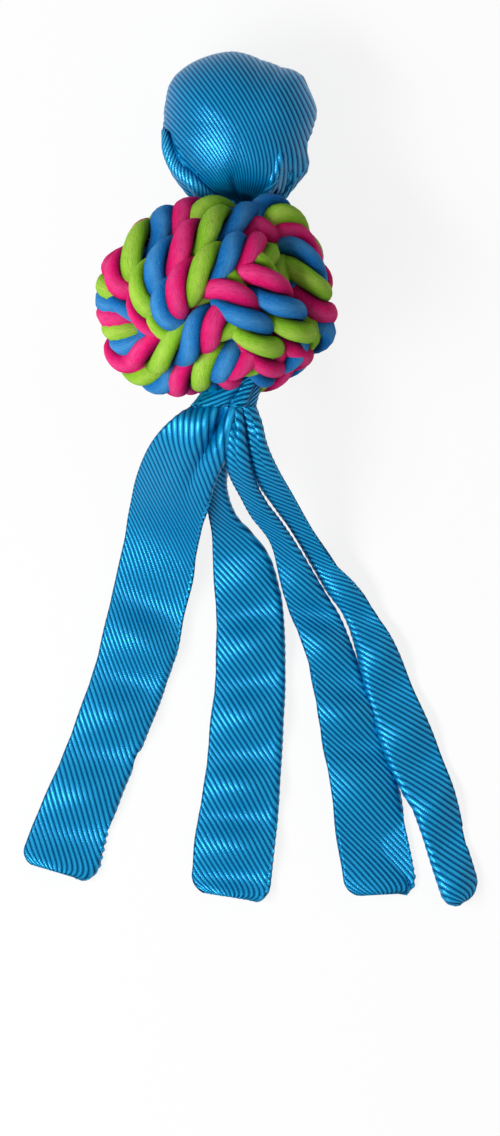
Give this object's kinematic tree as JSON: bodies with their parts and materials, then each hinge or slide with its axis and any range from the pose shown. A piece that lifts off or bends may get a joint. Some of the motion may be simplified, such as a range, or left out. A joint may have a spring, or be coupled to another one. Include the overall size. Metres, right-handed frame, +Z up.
{
  "type": "rope dog toy",
  "caption": "Rope dog toy: a wound rope ball between a strap-covered squeaker head and a bound neck, with flat fabric tails that hang free.",
  "frame": {"origin": "under the middle of the whole toy, on the surface it lies on", "axes": "+Y from the tails to the head, +Z up from the surface the toy lies on"},
  "size_m": [0.1734, 0.3314, 0.0904],
  "materials": {
    "twisted_rope": "matte three-strand rope in pink, blue and green",
    "ribbed_webbing": "ribbed blue webbing with a satin sheen",
    "ball_rubber": "matte",
    "squeaker_plastic": "matte",
    "tie_thread": "matte"
  },
  "bodies": {
    "rope_ball": {"rope_winding": "twisted_rope", "core_ball": "ball_rubber", "core_web_side": "ribbed_webbing", "core_web_front": "ribbed_webbing", "upper_neck_run": "ribbed_webbing", "lower_neck_run": "ribbed_webbing"},
    "upper_neck": {"upper_neck_gather": "ribbed_webbing", "upper_neck_tie": "tie_thread"},
    "head": {"head_ball": "ball_rubber", "squeaker_barrel": "squeaker_plastic", "squeaker_reed": "squeaker_plastic", "head_web_side": "ribbed_webbing", "head_web_front": "ribbed_webbing"},
    "lower_neck": {"lower_neck_gather": "ribbed_webbing", "lower_neck_band": "ribbed_webbing"},
    "tail_1": {"tail_1": "ribbed_webbing"},
    "tail_2": {"tail_2": "ribbed_webbing"},
    "tail_3": {"tail_3": "ribbed_webbing"},
    "tail_4": {"tail_4": "ribbed_webbing"}
  },
  "joints": [
    {"name": "upper_neck_pitch", "type": "hinge", "parent": "rope_ball", "child": "upper_neck", "pos_m": [-0.01368, 0.10982, 0.03043], "axis": [1, 0, 0], "range_deg": [-12, 12]},
    {"name": "head_turn", "type": "hinge", "parent": "upper_neck", "child": "head", "pos_m": [-0.01368, 0.10982, 0.03043], "axis": [0, 0, 1], "range_deg": [-10, 10]},
    {"name": "lower_neck_lift", "type": "hinge", "parent": "rope_ball", "child": "lower_neck", "pos_m": [-0.00788, 0.03001, 0.06048], "axis": [-1, 0, 0], "range_deg": [0, 30]},
    {"name": "tail_1_lift", "type": "hinge", "parent": "lower_neck", "child": "tail_1", "pos_m": [-0.0137, 0.02281, 0.06586], "axis": [-1, 0, 0], "range_deg": [0, 40]},
    {"name": "tail_2_drop", "type": "hinge", "parent": "lower_neck", "child": "tail_2", "pos_m": [-0.01325, 0.02281, 0.0551], "axis": [-1, 0, 0], "range_deg": [-40, 0]},
    {"name": "tail_3_lift", "type": "hinge", "parent": "lower_neck", "child": "tail_3", "pos_m": [-0.00362, 0.02281, 0.06586], "axis": [-1, 0, 0], "range_deg": [0, 40]},
    {"name": "tail_4_drop", "type": "hinge", "parent": "lower_neck", "child": "tail_4", "pos_m": [-0.00071, 0.02281, 0.0551], "axis": [-1, 0, 0], "range_deg": [-40, 0]}
  ]
}
